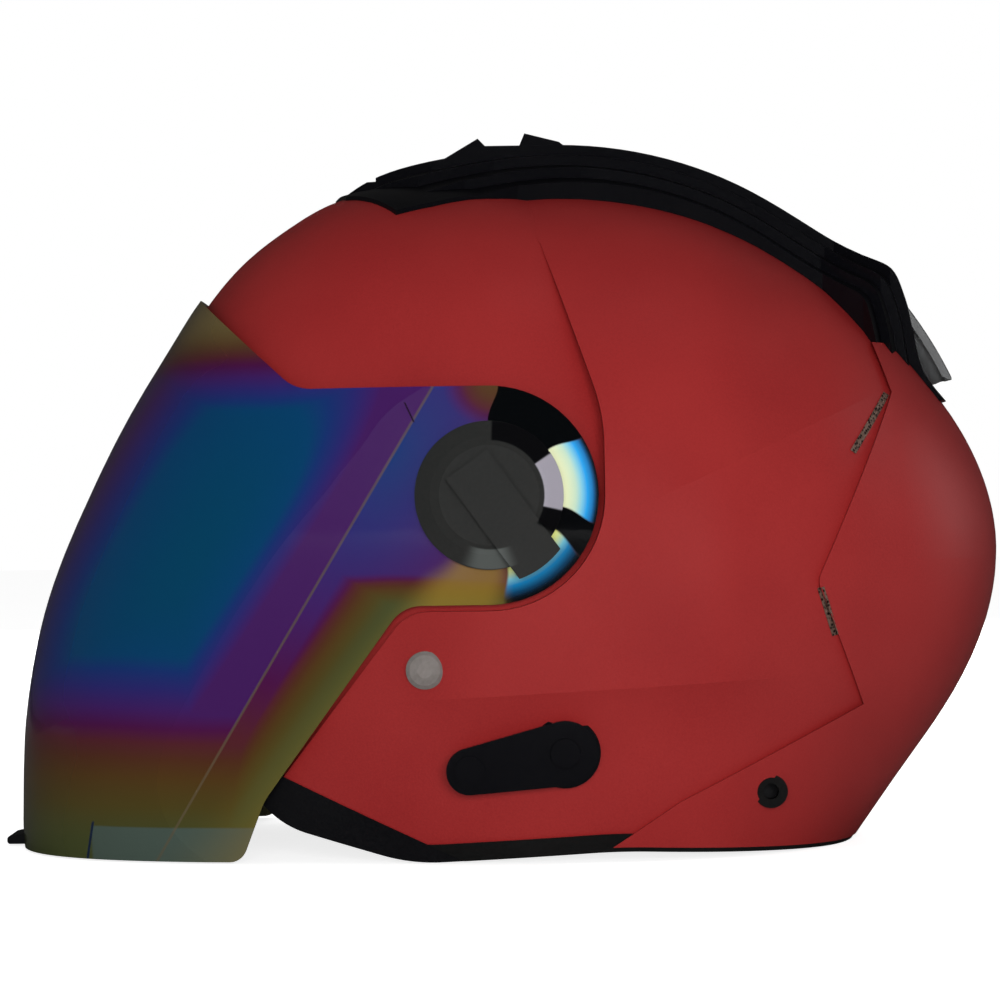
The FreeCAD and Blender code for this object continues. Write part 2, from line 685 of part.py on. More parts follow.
def visor_dome(grow=0.0):
    return dome(profile_reaches("visor", grow), pivot,
                size("visor_half_width") + grow, size("visor_fullness"))


def arm_dish(grow=0.0):
    # A shallow dish about the pivot axis, which gives the arms their flat sides.
    return dome(even_reaches(size("arm_dish_radius") + grow), pivot,
                size("arm_half_width") + grow, dish_fullness)


arm = size("arm_radius")
visor_foot = size("visor_foot")
visor_corners = [
    (-far, visor_foot), (-86, visor_foot, 6.0), (-78.0, 21.0, 20.0),
    (edge_top_x - 1.5, pivot.z - arm, 12.0),
    (pivot.x + arm, pivot.z - arm, arm), (pivot.x + arm, pivot.z + arm, arm),
    (-66, pivot.z + arm, 14.0), (-104.5, 191.0), (-180, 260), (-far, 260),
]
visor_outer = visor_dome().common(arm_dish())
visor_inner = visor_dome(-visor_wall).common(arm_dish(-visor_wall))
visor_shape = visor_outer.cut(visor_inner).common(side_prism(visor_corners))
visor_bore = size("hub_radius") + size("hub_clearance")
formed("visor", visor_shape.cut(side_rod(pivot.x, pivot.z, visor_bore, -far, far)))

tab_front = -size("tab_reach")
tab_half = size("tab_width") / 2
tab_top = visor_foot + size("tab_height")
tab_root = -150
tab_form = side_prism(
    [(tab_front, visor_foot, 1.0), (tab_root, visor_foot), (tab_root, tab_top + 3),
     (-166, tab_top + 1.5), (tab_front, tab_top, 1.0)], -tab_half, tab_half)
formed("visor_lift_tab", tab_form.cut(visor_dome()))

# ---------------------------------------------------------------- sun visor and its pins

pin_radius = size("pin_radius")
pin_inner = size("lens_half_width") - size("pin_length") + 2
pins = [through_rod(side, pivot.x, pivot.z, pin_radius, pin_inner, pin_inner + 12)
        for side in sides.values()]
pin_bore = side_rod(pivot.x, pivot.z, pin_radius + size("pin_clearance"), -far, far)
formed("sun_visor", lens_shape.cut(pin_bore))
formed("sun_visor_pins", Part.makeCompound(pins))
eps_liner = formed("eps_liner", liner.cut(pins))

# ---------------------------------------------------------------- crown fairing and vents


def fairing_dome(grow=0.0):
    return dome(profile_reaches("fairing", grow), fairing_centre,
                size("fairing_half_width") + grow, size("fairing_fullness"))


# Plans of the fairing's levels, from the lowest to the top, as (x, half width) corners.
tail = 158
tail_foot = 150.5
terrace_plans = [
    [(-56, 0), (-51, 34), (-33, 66), (-21, 61), (-8, 53), (8, 47), (30, 44), (60, 41), (90, 40),
     (112, 42), (125, 51), (134, 63), (140, 66), (tail, 46)],
    [(-55, 0), (-38, 44), (-26, 49), (-10, 42), (30, 35), (90, 33), (112, 35), (128, 45),
     (138, 52), (tail, 44)],
    [(-55, 0), (-41, 25), (-26, 34), (0, 28), (30, 26), (90, 25), (114, 27), (132, 40), (tail, 40)],
    [(-57, 0), (-40, 12), (-22, 19), (0, 18), (90, 16), (118, 18), (136, 34), (tail, 36)],
]
step = size("fairing_step")
top_level = len(terrace_plans) - 1
fairing = brow_dome(size("fairing_skin")).common(plan_prism(terrace_plans[0], tail_foot, far))
for number, plan in enumerate(terrace_plans):
    level_form = fairing_dome(step * (number - top_level))
    fairing = fairing.fuse(level_form.common(plan_prism(plan, tail_foot, far)))
scoop_half = size("scoop_half_width")
scoop_floor = size("scoop_floor")
scoop = side_prism(
    [(-30, 226), (-18, 237.2), (-5.5, 244.5), (-3.0, scoop_floor), (9.0, scoop_floor),
     (10.8, 246.1), (22.8, 243), (26.0, 240.5), (46, 236), (44, 224)], -scoop_half, scoop_half)
fairing = fairing.fuse(scoop)
well_half = size("scoop_well_half_width")
fairing = fairing.cut(block((size("well_front_x"), -well_half, size("well_floor")),
                            (size("well_rear_x"), well_half, far)))
intake_half = size("intake_half_width")
intake_low = size("intake_low")
intake_high = size("intake_high")
fairing = fairing.cut(block((-60, -intake_half, intake_low), (-2, intake_half, intake_high)))
vent_half = size("vent_half_width")
vent_low = size("vent_low")
vent_high = size("vent_high")
rear_vent = side_prism([(size("vent_front_x"), vent_high), (size("vent_front_x"), vent_low),
                        (far, vent_low), (far, vent_high)], -vent_half, vent_half)
fairing = fairing.cut(rear_vent).cut(painted_form)
formed("crown_fairing", fairing)

slider_body = new_body("slider_body")
slider_outline = outline_sketch(slider_body, "outline", "XZ_Plane", [
    ("sizes.slider_front_x", "sizes.well_floor + sizes.slider_floor_gap"),
    ("sizes.slider_front_x + sizes.slider_length", "sizes.well_floor + sizes.slider_floor_gap"),
    ("sizes.slider_front_x + sizes.slider_length", "sizes.scoop_floor - sizes.slider_chamfer"),
    ("sizes.slider_front_x + sizes.slider_length - sizes.slider_chamfer", "sizes.scoop_floor"),
    ("sizes.slider_front_x + sizes.slider_chamfer", "sizes.scoop_floor"),
    ("sizes.slider_front_x", "sizes.scoop_floor - sizes.slider_chamfer")])
slider_pad = padded(slider_body, slider_outline,
                    "2 * (sizes.scoop_well_half_width - sizes.slider_side_gap)")
slider_pad.Midplane = True
document.recompute()
keep(slider_body, "crown_vent_slider")

lip_reach = size("lip_reach")
lip_half = size("lip_half_width")


def lip_dome(grow=0.0):
    return dome(even_reaches(lip_reach + grow), fairing_centre,
                size("fairing_half_width") + grow, size("fairing_fullness"))


lip_region = side_prism([(141, 187), (150, 190), (162, 165), (156.5, 157.5), (149, 160.5),
                         (142, 177)], -lip_half, lip_half)
lip = lip_dome().cut(lip_dome(-size("lip_wall"))).common(lip_region)
formed("rear_exhaust_lip", lip.cut(fairing))


def grille(name, low, high):
    # Upright bars between two rails, from the low to the high corner.
    bar = size("grille_bar")
    pitch = size("grille_pitch")
    wide = high[1] - low[1]
    bars = [primitive("Part::Box", f"{name}_rail", (low[0], low[1], height), Length="sizes.grille_depth",
                      Width=str(wide), Height="sizes.grille_bar")
            for height in (low[2], high[2] - bar)]
    count = int((wide - bar) // pitch)
    start = low[1] + (wide - bar - count * pitch) / 2
    for number in range(count + 1):
        bars.append(primitive("Part::Box", f"{name}_bar", (low[0], start + number * pitch, low[2]),
                              Length="sizes.grille_depth", Width="sizes.grille_bar",
                              Height=str(high[2] - low[2])))
    return fused(name, bars)


grille_gap = size("grille_gap")
grille_depth = size("grille_depth")
front_grille = grille("front_vent_grille", (-22, grille_gap - intake_half, intake_low + grille_gap),
                      (-22 + grille_depth, intake_half - grille_gap, intake_high - grille_gap))
keep(front_grille, "front_vent_grille")
rear_bars = grille("rear_vent_bars", (137, grille_gap - vent_half, vent_low + grille_gap),
                   (137 + grille_depth, vent_half - grille_gap, vent_high - grille_gap))
formed("rear_vent_grille", rear_bars.Shape.cut(painted_form))

# ---------------------------------------------------------------- pivots of the visor

screw_circle = size("screw_circle")
base_top = size("brow_half_width") + size("base_height")
for name, side in sides.items():
    base = turned(f"pivot_base_body_{name}", [
        ("0", "-sizes.base_sunk"), ("sizes.base_radius", "-sizes.base_sunk"),
        ("sizes.base_radius", "sizes.base_height - sizes.base_edge"),
        ("sizes.base_radius - sizes.base_edge", "sizes.base_height"),
        ("sizes.hub_radius", "sizes.base_height"),
        ("sizes.hub_radius", "sizes.arm_half_width + sizes.cover_lift - sizes.brow_half_width"),
        ("0", "sizes.arm_half_width + sizes.cover_lift - sizes.brow_half_width")])
    outboard(base, side, pivot.x, size("brow_half_width"), pivot.z)
    seat = document.addObject("Part::Feature", f"pivot_seat_{name}")
    seat.Shape = brow_dome(0.0)
    screws = []
    bores = []
    for number in range(int(size("screw_count"))):
        angle = math.radians(size("screw_first_angle") + 360 * number / size("screw_count"))
        x = pivot.x + screw_circle * math.cos(angle)
        z = pivot.z + screw_circle * math.sin(angle)
        screw = turned(f"pivot_screw_{name}_{number}", [
            ("0", "-sizes.screw_length"), ("sizes.screw_radius", "-sizes.screw_length"),
            ("sizes.screw_radius", "-sizes.screw_head"), ("sizes.screw_head_radius", "-sizes.screw_head"),
            ("sizes.screw_head_radius", "-0.1"), ("sizes.screw_drive_radius", "-0.1"),
            ("sizes.screw_drive_radius", "-sizes.screw_drive_depth"), ("0", "-sizes.screw_drive_depth")])
        bore = turned(f"pivot_screw_bore_{name}_{number}", [
            ("0", "-sizes.screw_length - sizes.screw_spare"),
            ("sizes.screw_radius + sizes.screw_clearance", "-sizes.screw_length - sizes.screw_spare"),
            ("sizes.screw_radius + sizes.screw_clearance", "-sizes.screw_head"),
            ("sizes.screw_head_radius + sizes.screw_clearance", "-sizes.screw_head"),
            ("sizes.screw_head_radius + sizes.screw_clearance", "1"), ("0", "1")])
        for piece in (screw, bore):
            outboard(piece, side, x, base_top, z)
        screws.append(screw)
        bores.append(bore)
    document.recompute()
    shell.Shape = shell.Shape.cut([bore.Shape for bore in bores])
    seated = cut_by(f"pivot_base_seated_{name}", base, seat)
    keep(cut_by(f"pivot_base_{name}", seated, fused(f"pivot_bores_{name}", bores)), f"pivot_base_{name}")
    keep(grouped(f"pivot_screws_{name}", screws), f"pivot_screws_{name}")

    cover = turned(f"pivot_cover_{name}", [
        ("0", "0"), ("sizes.cover_radius", "0"), ("sizes.cover_radius", "sizes.cover_edge"),
        ("sizes.cover_flat_radius + sizes.cover_slope", "sizes.cover_height - sizes.cover_drop"),
        ("sizes.cover_flat_radius", "sizes.cover_height"),
        ("sizes.post_radius", "sizes.cover_height"),
        ("sizes.post_radius", "sizes.cover_height + sizes.post_height"),
        ("0", "sizes.cover_height + sizes.post_height")])
    cover_seat = size("arm_half_width") + size("cover_lift")
    outboard(cover, side, pivot.x, cover_seat, pivot.z)
    keep(cover, f"pivot_cover_{name}")

    lever = new_body(f"release_lever_{name}")
    round_sketch = circle_sketch(lever, "reach", "XY_Plane", "0", "0", "sizes.lever_front")
    padded(lever, round_sketch, "sizes.lever_thick")
    for number, sign in enumerate(("", "-")):
        trim_sketch = outline_sketch(lever, f"side_{number}", "XY_Plane", [
            ("-sizes.lever_front - 5", f"{sign}sizes.lever_half_width"),
            ("sizes.lever_front + 5", f"{sign}sizes.lever_half_width"),
            ("sizes.lever_front + 5", f"{sign}(sizes.lever_front + 5)"),
            ("-sizes.lever_front - 5", f"{sign}(sizes.lever_front + 5)")])
        pocketed(lever, trim_sketch, "sizes.lever_thick + 1", f"flat_{number}")
    back_sketch = outline_sketch(lever, "back", "XY_Plane", [
        ("-sizes.lever_front - 5", "-sizes.lever_half_width - 1"),
        ("-sizes.lever_back", "-sizes.lever_half_width - 1"),
        ("-sizes.lever_back", "sizes.lever_half_width + 1"),
        ("-sizes.lever_front - 5", "sizes.lever_half_width + 1")])
    pocketed(lever, back_sketch, "sizes.lever_thick + 1", "back_cut")
    bore_sketch = circle_sketch(lever, "bore", "XY_Plane", "0", "0",
                                "sizes.post_radius + sizes.post_clearance")
    pocketed(lever, bore_sketch, "sizes.post_height + 0.1", "bore_cut")
    lever_seat = cover_seat + size("cover_height") + size("lever_gap")
    outboard(lever, side, pivot.x, lever_seat, pivot.z, size("lever_angle"))
    keep(lever, f"release_lever_{name}")

# ---------------------------------------------------------------- lever of the sun visor

dial_x = size("dial_x")
dial_z = size("dial_z")
dial_seat = side_reach(outer_form, dial_x, dial_z)
plate = turned("dial_plate", [
    ("0", "-6"), ("sizes.dial_base_radius", "-6"), ("sizes.dial_base_radius", "sizes.dial_base_height"),
    ("sizes.dial_post_radius", "sizes.dial_base_height"),
    ("sizes.dial_post_radius", "sizes.dial_base_height + sizes.dial_gap + sizes.dial_thick"),
    ("0", "sizes.dial_base_height + sizes.dial_gap + sizes.dial_thick")])
outboard(plate, -1, dial_x, dial_seat, dial_z)
document.recompute()
formed("sun_lever_base", plate.Shape.cut(outer_form))

dial = new_body("sun_visor_lever")
for name, across, radius, height in (
        ("hub", "0", "sizes.dial_radius", "sizes.dial_thick"),
        ("tip", "sizes.dial_reach", "sizes.dial_tip_radius", "sizes.dial_thick"),
        ("knob", "sizes.dial_reach", "sizes.dial_knob_radius", "sizes.dial_thick + sizes.dial_knob_height")):
    round_sketch = circle_sketch(dial, name, "XY_Plane", across, "0", radius)
    padded(dial, round_sketch, height, f"{name}_pad")
web_sketch = outline_sketch(dial, "web", "XY_Plane", [
    ("sizes.dial_radius * sizes.dial_lean", "-sizes.dial_radius * sizes.dial_side"),
    ("sizes.dial_reach + sizes.dial_tip_radius * sizes.dial_lean",
     "-sizes.dial_tip_radius * sizes.dial_side"),
    ("sizes.dial_reach + sizes.dial_tip_radius * sizes.dial_lean",
     "sizes.dial_tip_radius * sizes.dial_side"),
    ("sizes.dial_radius * sizes.dial_lean", "sizes.dial_radius * sizes.dial_side")])
padded(dial, web_sketch, "sizes.dial_thick", "web_pad")
dial_bore = circle_sketch(dial, "bore", "XY_Plane", "0", "0",
                          "sizes.dial_post_radius + sizes.dial_clearance")
pocketed(dial, dial_bore, "sizes.dial_thick", "bore_cut")
dial_low = dial_seat + size("dial_base_height") + size("dial_gap")
outboard(dial, -1, dial_x, dial_low, dial_z, size("dial_angle"))
keep(dial, "sun_visor_lever")
cap = turned("sun_lever_cap", [
    ("0", "0"), ("sizes.dial_post_radius - 0.4", "0"), ("sizes.dial_post_radius - 0.4", "sizes.dial_cap_gap"),
    ("sizes.dial_cap_radius", "sizes.dial_cap_gap"),
    ("sizes.dial_cap_radius", "sizes.dial_cap_gap + sizes.dial_cap_height - 0.4"),
    ("sizes.dial_cap_radius - 0.4", "sizes.dial_cap_gap + sizes.dial_cap_height"),
    ("0", "sizes.dial_cap_gap + sizes.dial_cap_height")])
outboard(cap, -1, dial_x, dial_low + size("dial_thick"), dial_z)
keep(cap, "sun_lever_cap")

# ---------------------------------------------------------------- rivets and hangers of the strap

rivets = []
hangers = []
for name, side in sides.items():
    rivet = turned(f"rivet_{name}", [
        ("0", "-sizes.shell_wall - sizes.rivet_inside"),
        ("sizes.rivet_shank", "-sizes.shell_wall - sizes.rivet_inside"),
        ("sizes.rivet_shank", "-sizes.rivet_seat"), ("sizes.rivet_radius", "-sizes.rivet_seat"),
        ("sizes.rivet_radius", "sizes.rivet_seat"),
        ("sizes.rivet_radius * 0.8", "sizes.rivet_head * 0.75"),
        ("sizes.rivet_radius * 0.4", "sizes.rivet_head"), ("0", "sizes.rivet_head")])
    outboard(rivet, side, strap_x, rivet_seat + size("rivet_seat"), rivet_z)
    rivets.append(rivet)
    hanger = primitive(
        "Part::Box", f"hanger_{name}",
        ("sizes.strap_x - sizes.hanger_width / 2",
         hanger_outer - size("hanger_thick") if side > 0 else -hanger_outer,
         "sizes.rivet_z - sizes.hanger_below"),
        Length="sizes.hanger_width", Width="sizes.hanger_thick", Height="sizes.hanger_height")
    hangers.append(hanger)
document.recompute()
shell.Shape = shell.Shape.cut([rivet.Shape for rivet in rivets])
keep(grouped("strap_rivets", rivets), "strap_rivets")
drilled = [cut_by(f"hanger_drilled_{name}", hanger, rivet)
           for name, hanger, rivet in zip(sides, hangers, rivets)]
keep(grouped("strap_hangers", drilled), "strap_hangers")

# ---------------------------------------------------------------- buckle

case = primitive("Part::Box", "buckle_case",
                 ("sizes.strap_x - sizes.buckle_width / 2", "sizes.buckle_left_y", "sizes.buckle_low_z"),
                 Length="sizes.buckle_width", Width="sizes.buckle_right_y - sizes.buckle_left_y",
                 Height="sizes.buckle_height")
channel = primitive("Part::Box", "buckle_channel",
                    ("sizes.strap_x - sizes.buckle_width / 2 + sizes.buckle_wall",
                     "sizes.buckle_left_y - 1", "sizes.buckle_low_z - 1"),
                    Length="sizes.buckle_width - 2 * sizes.buckle_wall",
                    Width="sizes.buckle_right_y - sizes.buckle_left_y + 2",
                    Height="sizes.buckle_height - sizes.buckle_floor + 1")
axle = axle_rod("buckle_pin", "sizes.pin_axle_radius", "sizes.buckle_width")
case_open = cut_by("buckle_case_open", case, channel)
pin_hole = axle_rod("buckle_pin_hole", "sizes.pin_axle_radius", "sizes.buckle_width")
keep(cut_by("buckle_body", case_open, pin_hole), "buckle_body")
keep(axle, "buckle_pin")

flap = primitive("Part::Box", "buckle_flap_block",
                 ("sizes.strap_x - sizes.flap_half", "sizes.buckle_left_y + sizes.flap_inset",
                  "sizes.buckle_pin_z - sizes.flap_below"),
                 Length="2 * sizes.flap_half",
                 Width="sizes.buckle_pin_y + sizes.flap_behind - sizes.buckle_left_y - sizes.flap_inset",
                 Height="sizes.flap_below + sizes.flap_above")
flap_bore = axle_rod("flap_bore", "sizes.pin_axle_radius + sizes.flap_clearance", "sizes.buckle_width")
keep(cut_by("buckle_lever", flap, flap_bore), "buckle_lever")

tongue = new_body("tongue_body")
teeth = [("sizes.tongue_tip_y", "sizes.tongue_top_z"), ("sizes.tongue_tip_y", "sizes.tongue_low_z")]
for number in range(int(size("tooth_count"))):
    tooth = f"sizes.tongue_tip_y + 2 + {number} * sizes.tooth_pitch"
    teeth.append((tooth, "sizes.tongue_low_z"))
    teeth.append((f"{tooth} + sizes.tooth_run", "sizes.tongue_low_z + sizes.tooth_height"))
    teeth.append((f"{tooth} + sizes.tooth_run", "sizes.tongue_low_z"))
teeth += [("sizes.tongue_end_y", "sizes.tongue_low_z"), ("sizes.tongue_end_y", "sizes.tongue_top_z")]
tongue_outline = outline_sketch(tongue, "teeth", "YZ_Plane", teeth)
tongue_pad = padded(tongue, tongue_outline, "sizes.tongue_width")
tongue_pad.Midplane = True
tongue.Placement.Base = V(strap_x, 0, 0)
document.recompute()
keep(tongue, "buckle_tongue")

pad_block = primitive("Part::Box", "chin_pad_block",
                      ("sizes.strap_x - sizes.chin_pad_width / 2", "sizes.chin_pad_inner_y",
                       "sizes.buckle_floor_z"),
                      Length="sizes.chin_pad_width", Width="sizes.chin_pad_outer_y - sizes.chin_pad_inner_y",
                      Height="sizes.chin_pad_thick")
document.recompute()
chin_pad = document.addObject("Part::Fillet", "chin_pad")
chin_pad.Base = pad_block
edge_radius = size("chin_pad_round")
chin_pad.Edges = [(number + 1, edge_radius, edge_radius) for number in range(len(pad_block.Shape.Edges))]
document.recompute()
keep(chin_pad, "chin_pad")

# ---------------------------------------------------------------- grommets in the rear of the rim

grommet_seat = side_reach(painted_form, size("grommet_x"), size("grommet_z"))
grommets = []
for name, side in sides.items():
    grommet = turned(f"grommet_{name}", [
        ("sizes.grommet_bore", "-sizes.shell_wall - 1"),
        ("sizes.grommet_radius - sizes.grommet_fit", "-sizes.shell_wall - 1"),
        ("sizes.grommet_radius - sizes.grommet_fit", "sizes.grommet_seat"),
        ("sizes.grommet_radius + sizes.grommet_lip", "sizes.grommet_seat"),
        ("sizes.grommet_radius + sizes.grommet_lip", "sizes.grommet_flange"),
        ("sizes.grommet_bore", "sizes.grommet_flange")])
    outboard(grommet, side, size("grommet_x"), grommet_seat, size("grommet_z"))
    grommets.append(grommet)
document.recompute()
shell.Shape = shell.Shape.cut([grommet.Shape for grommet in grommets])
eps_liner.Shape = eps_liner.Shape.cut([grommet.Shape for grommet in grommets])
keep(grouped("rim_grommets", grommets), "rim_grommets")

# ---------------------------------------------------------------- export

document.recompute()
failed = [item.Name for item in document.Objects if "Invalid" in item.State or "Error" in item.State]
if failed:
    raise RuntimeError(f"objects failed: {failed}")
os.makedirs("parts", exist_ok=True)
for piece in pieces:
    if piece.Shape.isNull() or not piece.Shape.isValid():
        raise RuntimeError(f"{piece.Label} has no valid shape")
for piece in pieces:
    piece.Shape.exportStep(f"parts/{piece.Label}.step")
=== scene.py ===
import math

import bmesh
import bpy
from mathutils import Matrix, Vector


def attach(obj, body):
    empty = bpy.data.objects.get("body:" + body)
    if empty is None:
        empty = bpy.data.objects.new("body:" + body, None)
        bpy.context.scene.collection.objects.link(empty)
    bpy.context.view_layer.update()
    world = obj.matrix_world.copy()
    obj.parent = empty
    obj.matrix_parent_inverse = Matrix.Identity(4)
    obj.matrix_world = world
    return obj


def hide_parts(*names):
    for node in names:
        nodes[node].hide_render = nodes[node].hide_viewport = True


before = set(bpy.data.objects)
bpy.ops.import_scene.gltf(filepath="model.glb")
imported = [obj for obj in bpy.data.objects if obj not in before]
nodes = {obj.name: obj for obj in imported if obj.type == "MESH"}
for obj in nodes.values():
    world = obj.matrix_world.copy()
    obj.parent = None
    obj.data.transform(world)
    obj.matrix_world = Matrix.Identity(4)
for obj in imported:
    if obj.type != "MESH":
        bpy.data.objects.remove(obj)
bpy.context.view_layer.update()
bpy.ops.object.select_all(action="DESELECT")
print("frame loaded:", len(nodes), "pieces")


def newMaterial(name, **values):
    material = bpy.data.materials.new(name)
    material.use_nodes = True
    shader = shaderOf(material)
    for socket, value in values.items():
        shader.inputs[socket.replace("_", " ")].default_value = value
    return material


def shaderOf(material):
    return material.node_tree.nodes["Principled BSDF"]


def addNode(material, kind, **values):
    node = material.node_tree.nodes.new(kind)
    for name, value in values.items():
        setattr(node, name, value)
    return node


def join(material, source, target):
    material.node_tree.links.new(source, target)


def objectPoint(material):
    return addNode(material, "ShaderNodeTexCoord").outputs["Object"]


def calc(material, operation, *values):
    # one step of arithmetic on sockets and plain numbers
    node = addNode(material, "ShaderNodeMath", operation=operation)
    for slot, value in zip(node.inputs, values):
        if isinstance(value, (int, float)):
            slot.default_value = value
        else:
            join(material, value, slot)
    return node.outputs[0]


def plus(material, first, second):
    return calc(material, "ADD", first, second)


def minus(material, first, second):
    return calc(material, "SUBTRACT", first, second)


def times(material, first, second):
    return calc(material, "MULTIPLY", first, second)


def larger(material, first, *others):
    for other in others:
        first = calc(material, "MAXIMUM", first, other)
    return first


def smaller(material, first, second):
    return calc(material, "MINIMUM", first, second)


def lengthOf(material, first, second):
    squares = [times(material, side, side) for side in (first, second)]
    return calc(material, "SQRT", plus(material, *squares))


def sideView(material, wander=0.0):
    # x and z of a point on the piece, shifted a little by a slow noise
    place = addNode(material, "ShaderNodeSeparateXYZ")
    join(material, objectPoint(material), place.inputs[0])
    x, z = place.outputs["X"], place.outputs["Z"]
    if not wander:
        return x, z
    drift = spread(material, noise(material, 16, 2), -wander, wander)
    return plus(material, x, drift), plus(material, z, drift)


def lineDistance(material, x, z, start, end):
    # signed distance from the line through two points, positive on its right
    run, rise = end[0] - start[0], end[1] - start[1]
    length = math.hypot(run, rise)
    fromX = times(material, minus(material, x, start[0]), rise / length)
    fromZ = times(material, minus(material, z, start[1]), -run / length)
    return plus(material, fromX, fromZ)


def polar(material, x, z, centre):
    # distance from the centre and the angle in degrees
    across = minus(material, x, centre[0])
    up = minus(material, z, centre[1])
    turn = calc(material, "ARCTAN2", up, across)
    return lengthOf(material, across, up), times(material, turn, 180 / math.pi)


def step(material, value, low, high, start=0.0, stop=1.0):
    node = addNode(material, "ShaderNodeMapRange", interpolation_type="SMOOTHSTEP")
    for socket, number in (("From Min", low), ("From Max", high), ("To Min", start), ("To Max", stop)):
        node.inputs[socket].default_value = number
    join(material, value, node.inputs["Value"])
    return node.outputs["Result"]


def within(material, value, low, high, soft):
    rise = step(material, value, low - soft, low + soft)
    return times(material, rise, step(material, value, high - soft, high + soft, 1.0, 0.0))


def mixed(material, share, first, second):
    node = addNode(material, "ShaderNodeMix", data_type="RGBA")
    join(material, share, node.inputs["Factor"])
    colourSlots = [socket for socket in node.inputs if socket.type == "RGBA"]
    for socket, value in zip(colourSlots, (first, second)):
        if isinstance(value, tuple):
            socket.default_value = (*value, 1.0)
        else:
            join(material, value, socket)
    return [socket for socket in node.outputs if socket.type == "RGBA"][0]


def noise(material, scale, detail=3.0, roughness=0.5):
    node = addNode(material, "ShaderNodeTexNoise")
    node.inputs["Scale"].default_value = scale
    node.inputs["Detail"].default_value = detail
    node.inputs["Roughness"].default_value = roughness
    join(material, objectPoint(material), node.inputs["Vector"])
    return node.outputs["Fac"]


def ramp(material, factor, stops):
    node = addNode(material, "ShaderNodeValToRGB")
    elements = node.color_ramp.elements
    while len(elements) < len(stops):
        elements.new(0.5)
    for element, (place, colour) in zip(elements, stops):
        element.position = place
        element.color = (*colour, 1.0)
    join(material, factor, node.inputs["Fac"])
    return node.outputs["Color"]


def spread(material, factor, low, high):
    node = addNode(material, "ShaderNodeMapRange")
    node.inputs["To Min"].default_value = low
    node.inputs["To Max"].default_value = high
    join(material, factor, node.inputs["Value"])
    return node.outputs["Result"]


def bump(material, height, distance, previous=None):
    node = addNode(material, "ShaderNodeBump")
    node.inputs["Distance"].default_value = distance
    join(material, height, node.inputs["Height"])
    if previous:
        join(material, previous, node.inputs["Normal"])
    return node.outputs["Normal"]


def setShader(material, **sockets):
    shader = shaderOf(material)
    for name, source in sockets.items():
        join(material, source, shader.inputs[name.replace("_", " ")])


def linear(red, green, blue):
    # a colour given in 0 to 255 screen values
    def one(value):
        share = value / 255
        return share / 12.92 if share <= 0.04045 else ((share + 0.055) / 1.055) ** 2.4

    return (one(red), one(green), one(blue))


def dress(material, *names):
    for name in names:
        data = nodes[name].data
        data.materials.clear()
        data.materials.append(material)


def grained(name, dark, light, grain, roughness, relief, **values):
    # moulded or painted surface: two close tones, uneven gloss and a fine grain
    material = newMaterial(name, **values)
    broad = noise(material, 18, 2)
    fine = noise(material, grain, 2, 0.6)
    tone = plus(material, times(material, fine, 0.5), times(material, broad, 0.5))
    setShader(
        material,
        Base_Color=ramp(material, tone, [(0.3, dark), (0.7, light)]),
        Roughness=spread(material, broad, *roughness),
        Normal=bump(material, fine, relief))
    return material


redPaint = {"dark": linear(134, 30, 31), "light": linear(150, 40, 39), "grain": 1500,
            "roughness": (0.42, 0.5), "relief": 0.00003, "Specular_IOR_Level": 0.4}
shellCreases = {
    # ends in x and z, how steeply the paint turns away under the line, how far down that fades
    "waist": {"start": (-0.020, 0.0540), "end": (0.085, 0.0590),
              "slope": 0.38, "reach": 0.026, "endFade": 0.020},
    "shoulder": {"start": (0.115, 0.1470), "end": (0.062, 0.1230),
                 "slope": 0.22, "reach": 0.030, "endFade": 0.018},
}


def creaseHeight(material, x, z, crease):
    off = lineDistance(material, x, z, crease["start"], crease["end"])
    left = minus(material, 1.0, calc(material, "DIVIDE", off, crease["reach"]))
    left = larger(material, smaller(material, left, 1.0), 0.0)
    depth = crease["slope"] * crease["reach"] / 2
    fold = times(material, times(material, left, left), depth)
    low, high = sorted((crease["start"][0], crease["end"][0]))
    return times(material, fold, within(material, x, low, high, crease["endFade"]))


def paintedShell():
    material = grained("redShellPaint", **redPaint)
    x, z = sideView(material)
    waist, shoulder = [creaseHeight(material, x, z, crease) for crease in shellCreases.values()]
    grain = shaderOf(material).inputs["Normal"].links[0].from_socket
    setShader(material, Normal=bump(material, plus(material, waist, shoulder), 1.0, grain))
    return material


redShell = paintedShell()
blackRubber = grained(
    "blackRubber", (0.004, 0.004, 0.004), (0.009, 0.009, 0.009), 900, (0.5, 0.65), 0.00004)
blackPlastic = grained(
    "blackPlastic", (0.003, 0.003, 0.004), (0.008, 0.008, 0.009), 1100, (0.4, 0.55), 0.00004,
    Specular_IOR_Level=0.4)
fairingPlastic = grained(
    "fairingPlastic", (0.002, 0.002, 0.003), (0.004, 0.004, 0.005), 700, (0.3, 0.38), 0.00001,
    Specular_IOR_Level=0.22)
glossBlack = grained(
    "glossBlack", (0.002, 0.002, 0.003), (0.004, 0.004, 0.005), 500, (0.08, 0.16), 0.000006)
foamBlack = grained(
    "foamBlack", (0.01, 0.01, 0.011), (0.02, 0.02, 0.021), 420, (0.7, 0.85), 0.0002)
zincSteel = grained(
    "zincSteel", (0.42, 0.42, 0.43), (0.6, 0.6, 0.6), 700, (0.25, 0.4), 0.00001, Metallic=1.0)
chromeSteel = grained(
    "chromeSteel", (0.34, 0.30, 0.28), (0.46, 0.42, 0.40), 600, (0.18, 0.26), 0.000008, Metallic=0.6)

